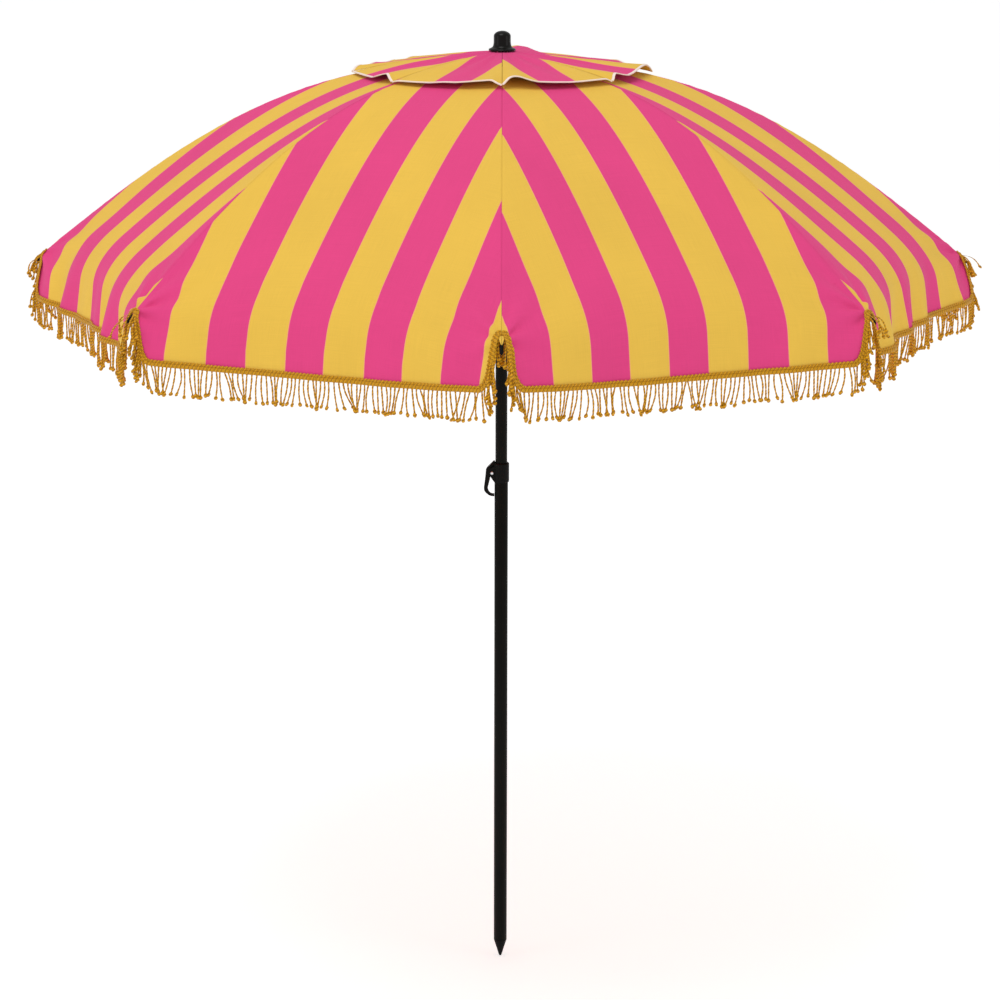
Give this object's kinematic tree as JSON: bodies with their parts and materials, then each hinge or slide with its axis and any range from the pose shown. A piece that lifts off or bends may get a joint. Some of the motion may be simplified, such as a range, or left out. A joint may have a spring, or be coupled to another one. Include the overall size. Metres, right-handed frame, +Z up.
{
  "type": "beach umbrella",
  "caption": "Vented beach umbrella with striped cloth, fringed valance, folding ribs and struts, telescoping pole, push-button height lock and pointed ground spike.",
  "frame": {"origin": "the point of the ground spike, on the pole's axis", "axes": "+Z up along the pole, a rib points along -Y, the height lock's button is on the -X side"},
  "size_m": [2.1584, 2.1584, 2.271],
  "materials": {
    "painted_steel": "satin black powder coat",
    "black_plastic": "moulded, fine grain",
    "gloss_plastic": "polished moulding",
    "bright_steel": "bright rivet",
    "grey_nylon": "smooth",
    "canopy_cloth": "woven cotton blend, pink and mustard stripes",
    "gold_trim": "braided gimp and twisted cord fringe",
    "cream_binding": "cotton bias binding"
  },
  "bodies": {
    "root": {"lower_pole": "painted_steel", "ground_spike": "black_plastic", "lock_collar": "black_plastic", "lock_button_rivet": "bright_steel", "lock_button_tail": "black_plastic"},
    "mast": {"upper_pole": "painted_steel", "pole_bush": "grey_nylon", "crown": "black_plastic", "finial": "gloss_plastic"},
    "lock_button": {"lock_button": "black_plastic"},
    "runner": {"runner": "black_plastic"},
    "runner_latch": {"runner_latch": "black_plastic"},
    "rib_1": {"rib_1": "painted_steel", "rib_tip_1": "black_plastic"},
    "strut_1": {"strut_1": "painted_steel"},
    "panel_1": {"canopy_panel_1": "canopy_cloth", "vent_panel_1": "canopy_cloth"},
    "valance_1": {"valance_1": "canopy_cloth"},
    "rib_2": {"rib_2": "painted_steel", "rib_tip_2": "black_plastic"},
    "strut_2": {"strut_2": "painted_steel"},
    "panel_2": {"canopy_panel_2": "canopy_cloth", "vent_panel_2": "canopy_cloth"},
    "valance_2": {"valance_2": "canopy_cloth"},
    "rib_3": {"rib_3": "painted_steel", "rib_tip_3": "black_plastic"},
    "strut_3": {"strut_3": "painted_steel"},
    "panel_3": {"canopy_panel_3": "canopy_cloth", "vent_panel_3": "canopy_cloth"},
    "valance_3": {"valance_3": "canopy_cloth"},
    "rib_4": {"rib_4": "painted_steel", "rib_tip_4": "black_plastic"},
    "strut_4": {"strut_4": "painted_steel"},
    "panel_4": {"canopy_panel_4": "canopy_cloth", "vent_panel_4": "canopy_cloth"},
    "valance_4": {"valance_4": "canopy_cloth"},
    "rib_5": {"rib_5": "painted_steel", "rib_tip_5": "black_plastic"},
    "strut_5": {"strut_5": "painted_steel"},
    "panel_5": {"canopy_panel_5": "canopy_cloth", "vent_panel_5": "canopy_cloth"},
    "valance_5": {"valance_5": "canopy_cloth"},
    "rib_6": {"rib_6": "painted_steel", "rib_tip_6": "black_plastic"},
    "strut_6": {"strut_6": "painted_steel"},
    "panel_6": {"canopy_panel_6": "canopy_cloth", "vent_panel_6": "canopy_cloth"},
    "valance_6": {"valance_6": "canopy_cloth"},
    "rib_7": {"rib_7": "painted_steel", "rib_tip_7": "black_plastic"},
    "strut_7": {"strut_7": "painted_steel"},
    "panel_7": {"canopy_panel_7": "canopy_cloth", "vent_panel_7": "canopy_cloth"},
    "valance_7": {"valance_7": "canopy_cloth"},
    "rib_8": {"rib_8": "painted_steel", "rib_tip_8": "black_plastic"},
    "strut_8": {"strut_8": "painted_steel"},
    "panel_8": {"canopy_panel_8": "canopy_cloth", "vent_panel_8": "canopy_cloth"},
    "valance_8": {"valance_8": "canopy_cloth"}
  },
  "joints": [
    {"name": "height_slide", "type": "slide", "parent": "root", "child": "mast", "axis": [0, 0, 1], "range_m": [0, 0.17]},
    {"name": "lock_button_press", "type": "hinge", "parent": "root", "child": "lock_button", "pos_m": [-0.0217, 0, 1.2385], "axis": [0, -1, 0], "range_deg": [0, 6.8], "stiffness_Nm_per_rad": 0.6, "springref_deg": -2.86, "deforming": ["lock_button_tail"]},
    {"name": "runner_slide", "type": "slide", "parent": "mast", "child": "runner", "axis": [0, 0, -1], "range_m": [0, 0.5083]},
    {"name": "runner_latch_press", "type": "hinge", "parent": "runner", "child": "runner_latch", "pos_m": [-0.02263, -0.00938, 1.854], "axis": [-0.3827, 0.9239, 0], "range_deg": [0, 11], "stiffness_Nm_per_rad": 0.3, "springref_deg": -2.86},
    {"name": "rib_1_hinge", "type": "hinge", "parent": "mast", "child": "rib_1", "pos_m": [0, -0.028, 2.214], "axis": [1, 0, 0], "range_deg": [0, 62.1]},
    {"name": "strut_1_hinge", "type": "hinge", "parent": "rib_1", "child": "strut_1", "pos_m": [0, -0.42113, 2.13528], "axis": [1, 0, 0], "range_deg": [-106.26, 0]},
    {"name": "panel_1_fold", "type": "hinge", "parent": "mast", "child": "panel_1", "pos_m": [0.01072, -0.02587, 2.214], "axis": [0.9239, 0.3827, 0], "range_deg": [0, 62.1], "deforming": ["canopy_panel_1", "vent_panel_1"]},
    {"name": "valance_1_hang", "type": "hinge", "parent": "panel_1", "child": "valance_1", "pos_m": [0.35911, -0.86697, 1.79978], "axis": [0.9239, 0.3827, 0], "range_deg": [-62.1, 0], "deforming": ["valance_1"]},
    {"name": "rib_2_hinge", "type": "hinge", "parent": "mast", "child": "rib_2", "pos_m": [0.0198, -0.0198, 2.214], "axis": [0.7071, 0.7071, 0], "range_deg": [0, 62.1]},
    {"name": "strut_2_hinge", "type": "hinge", "parent": "rib_2", "child": "strut_2", "pos_m": [0.29778, -0.29778, 2.13528], "axis": [0.7071, 0.7071, 0], "range_deg": [-106.26, 0]},
    {"name": "panel_2_fold", "type": "hinge", "parent": "mast", "child": "panel_2", "pos_m": [0.02587, -0.01072, 2.214], "axis": [0.3827, 0.9239, 0], "range_deg": [0, 62.1], "deforming": ["canopy_panel_2", "vent_panel_2"]},
    {"name": "valance_2_hang", "type": "hinge", "parent": "panel_2", "child": "valance_2", "pos_m": [0.86697, -0.35911, 1.79978], "axis": [0.3827, 0.9239, 0], "range_deg": [-62.1, 0], "deforming": ["valance_2"]},
    {"name": "rib_3_hinge", "type": "hinge", "parent": "mast", "child": "rib_3", "pos_m": [0.028, 0, 2.214], "axis": [0, 1, 0], "range_deg": [0, 62.1]},
    {"name": "strut_3_hinge", "type": "hinge", "parent": "rib_3", "child": "strut_3", "pos_m": [0.42113, 0, 2.13528], "axis": [0, 1, 0], "range_deg": [-106.26, 0]},
    {"name": "panel_3_fold", "type": "hinge", "parent": "mast", "child": "panel_3", "pos_m": [0.02587, 0.01072, 2.214], "axis": [-0.3827, 0.9239, 0], "range_deg": [0, 62.1], "deforming": ["canopy_panel_3", "vent_panel_3"]},
    {"name": "valance_3_hang", "type": "hinge", "parent": "panel_3", "child": "valance_3", "pos_m": [0.86697, 0.35911, 1.79978], "axis": [-0.3827, 0.9239, 0], "range_deg": [-62.1, 0], "deforming": ["valance_3"]},
    {"name": "rib_4_hinge", "type": "hinge", "parent": "mast", "child": "rib_4", "pos_m": [0.0198, 0.0198, 2.214], "axis": [-0.7071, 0.7071, 0], "range_deg": [0, 62.1]},
    {"name": "strut_4_hinge", "type": "hinge", "parent": "rib_4", "child": "strut_4", "pos_m": [0.29778, 0.29778, 2.13528], "axis": [-0.7071, 0.7071, 0], "range_deg": [-106.26, 0]},
    {"name": "panel_4_fold", "type": "hinge", "parent": "mast", "child": "panel_4", "pos_m": [0.01072, 0.02587, 2.214], "axis": [-0.9239, 0.3827, 0], "range_deg": [0, 62.1], "deforming": ["canopy_panel_4", "vent_panel_4"]},
    {"name": "valance_4_hang", "type": "hinge", "parent": "panel_4", "child": "valance_4", "pos_m": [0.35911, 0.86697, 1.79978], "axis": [-0.9239, 0.3827, 0], "range_deg": [-62.1, 0], "deforming": ["valance_4"]},
    {"name": "rib_5_hinge", "type": "hinge", "parent": "mast", "child": "rib_5", "pos_m": [0, 0.028, 2.214], "axis": [-1, 0, 0], "range_deg": [0, 62.1]},
    {"name": "strut_5_hinge", "type": "hinge", "parent": "rib_5", "child": "strut_5", "pos_m": [0, 0.42113, 2.13528], "axis": [-1, 0, 0], "range_deg": [-106.26, 0]},
    {"name": "panel_5_fold", "type": "hinge", "parent": "mast", "child": "panel_5", "pos_m": [-0.01072, 0.02587, 2.214], "axis": [-0.9239, -0.3827, 0], "range_deg": [0, 62.1], "deforming": ["canopy_panel_5", "vent_panel_5"]},
    {"name": "valance_5_hang", "type": "hinge", "parent": "panel_5", "child": "valance_5", "pos_m": [-0.35911, 0.86697, 1.79978], "axis": [-0.9239, -0.3827, 0], "range_deg": [-62.1, 0], "deforming": ["valance_5"]},
    {"name": "rib_6_hinge", "type": "hinge", "parent": "mast", "child": "rib_6", "pos_m": [-0.0198, 0.0198, 2.214], "axis": [-0.7071, -0.7071, 0], "range_deg": [0, 62.1]},
    {"name": "strut_6_hinge", "type": "hinge", "parent": "rib_6", "child": "strut_6", "pos_m": [-0.29778, 0.29778, 2.13528], "axis": [-0.7071, -0.7071, 0], "range_deg": [-106.26, 0]},
    {"name": "panel_6_fold", "type": "hinge", "parent": "mast", "child": "panel_6", "pos_m": [-0.02587, 0.01072, 2.214], "axis": [-0.3827, -0.9239, 0], "range_deg": [0, 62.1], "deforming": ["canopy_panel_6", "vent_panel_6"]},
    {"name": "valance_6_hang", "type": "hinge", "parent": "panel_6", "child": "valance_6", "pos_m": [-0.86697, 0.35911, 1.79978], "axis": [-0.3827, -0.9239, 0], "range_deg": [-62.1, 0], "deforming": ["valance_6"]},
    {"name": "rib_7_hinge", "type": "hinge", "parent": "mast", "child": "rib_7", "pos_m": [-0.028, 0, 2.214], "axis": [0, -1, 0], "range_deg": [0, 62.1]},
    {"name": "strut_7_hinge", "type": "hinge", "parent": "rib_7", "child": "strut_7", "pos_m": [-0.42113, 0, 2.13528], "axis": [0, -1, 0], "range_deg": [-106.26, 0]},
    {"name": "panel_7_fold", "type": "hinge", "parent": "mast", "child": "panel_7", "pos_m": [-0.02587, -0.01072, 2.214], "axis": [0.3827, -0.9239, 0], "range_deg": [0, 62.1], "deforming": ["canopy_panel_7", "vent_panel_7"]},
    {"name": "valance_7_hang", "type": "hinge", "parent": "panel_7", "child": "valance_7", "pos_m": [-0.86697, -0.35911, 1.79978], "axis": [0.3827, -0.9239, 0], "range_deg": [-62.1, 0], "deforming": ["valance_7"]},
    {"name": "rib_8_hinge", "type": "hinge", "parent": "mast", "child": "rib_8", "pos_m": [-0.0198, -0.0198, 2.214], "axis": [0.7071, -0.7071, 0], "range_deg": [0, 62.1]},
    {"name": "strut_8_hinge", "type": "hinge", "parent": "rib_8", "child": "strut_8", "pos_m": [-0.29778, -0.29778, 2.13528], "axis": [0.7071, -0.7071, 0], "range_deg": [-106.26, 0]},
    {"name": "panel_8_fold", "type": "hinge", "parent": "mast", "child": "panel_8", "pos_m": [-0.01072, -0.02587, 2.214], "axis": [0.9239, -0.3827, 0], "range_deg": [0, 62.1], "deforming": ["canopy_panel_8", "vent_panel_8"]},
    {"name": "valance_8_hang", "type": "hinge", "parent": "panel_8", "child": "valance_8", "pos_m": [-0.35911, -0.86697, 1.79978], "axis": [0.9239, -0.3827, 0], "range_deg": [-62.1, 0], "deforming": ["valance_8"]}
  ],
  "couplings": [
    {"joint": "rib_1_hinge", "follows": "runner_slide", "rad_per_m": 2.1289},
    {"joint": "strut_1_hinge", "follows": "runner_slide", "rad_per_m": -3.6452},
    {"joint": "panel_1_fold", "follows": "runner_slide", "rad_per_m": 2.1289},
    {"joint": "valance_1_hang", "follows": "runner_slide", "rad_per_m": -2.1289},
    {"joint": "rib_2_hinge", "follows": "runner_slide", "rad_per_m": 2.1289},
    {"joint": "strut_2_hinge", "follows": "runner_slide", "rad_per_m": -3.6452},
    {"joint": "panel_2_fold", "follows": "runner_slide", "rad_per_m": 2.1289},
    {"joint": "valance_2_hang", "follows": "runner_slide", "rad_per_m": -2.1289},
    {"joint": "rib_3_hinge", "follows": "runner_slide", "rad_per_m": 2.1289},
    {"joint": "strut_3_hinge", "follows": "runner_slide", "rad_per_m": -3.6452},
    {"joint": "panel_3_fold", "follows": "runner_slide", "rad_per_m": 2.1289},
    {"joint": "valance_3_hang", "follows": "runner_slide", "rad_per_m": -2.1289},
    {"joint": "rib_4_hinge", "follows": "runner_slide", "rad_per_m": 2.1289},
    {"joint": "strut_4_hinge", "follows": "runner_slide", "rad_per_m": -3.6452},
    {"joint": "panel_4_fold", "follows": "runner_slide", "rad_per_m": 2.1289},
    {"joint": "valance_4_hang", "follows": "runner_slide", "rad_per_m": -2.1289},
    {"joint": "rib_5_hinge", "follows": "runner_slide", "rad_per_m": 2.1289},
    {"joint": "strut_5_hinge", "follows": "runner_slide", "rad_per_m": -3.6452},
    {"joint": "panel_5_fold", "follows": "runner_slide", "rad_per_m": 2.1289},
    {"joint": "valance_5_hang", "follows": "runner_slide", "rad_per_m": -2.1289},
    {"joint": "rib_6_hinge", "follows": "runner_slide", "rad_per_m": 2.1289},
    {"joint": "strut_6_hinge", "follows": "runner_slide", "rad_per_m": -3.6452},
    {"joint": "panel_6_fold", "follows": "runner_slide", "rad_per_m": 2.1289},
    {"joint": "valance_6_hang", "follows": "runner_slide", "rad_per_m": -2.1289},
    {"joint": "rib_7_hinge", "follows": "runner_slide", "rad_per_m": 2.1289},
    {"joint": "strut_7_hinge", "follows": "runner_slide", "rad_per_m": -3.6452},
    {"joint": "panel_7_fold", "follows": "runner_slide", "rad_per_m": 2.1289},
    {"joint": "valance_7_hang", "follows": "runner_slide", "rad_per_m": -2.1289},
    {"joint": "rib_8_hinge", "follows": "runner_slide", "rad_per_m": 2.1289},
    {"joint": "strut_8_hinge", "follows": "runner_slide", "rad_per_m": -3.6452},
    {"joint": "panel_8_fold", "follows": "runner_slide", "rad_per_m": 2.1289},
    {"joint": "valance_8_hang", "follows": "runner_slide", "rad_per_m": -2.1289}
  ]
}
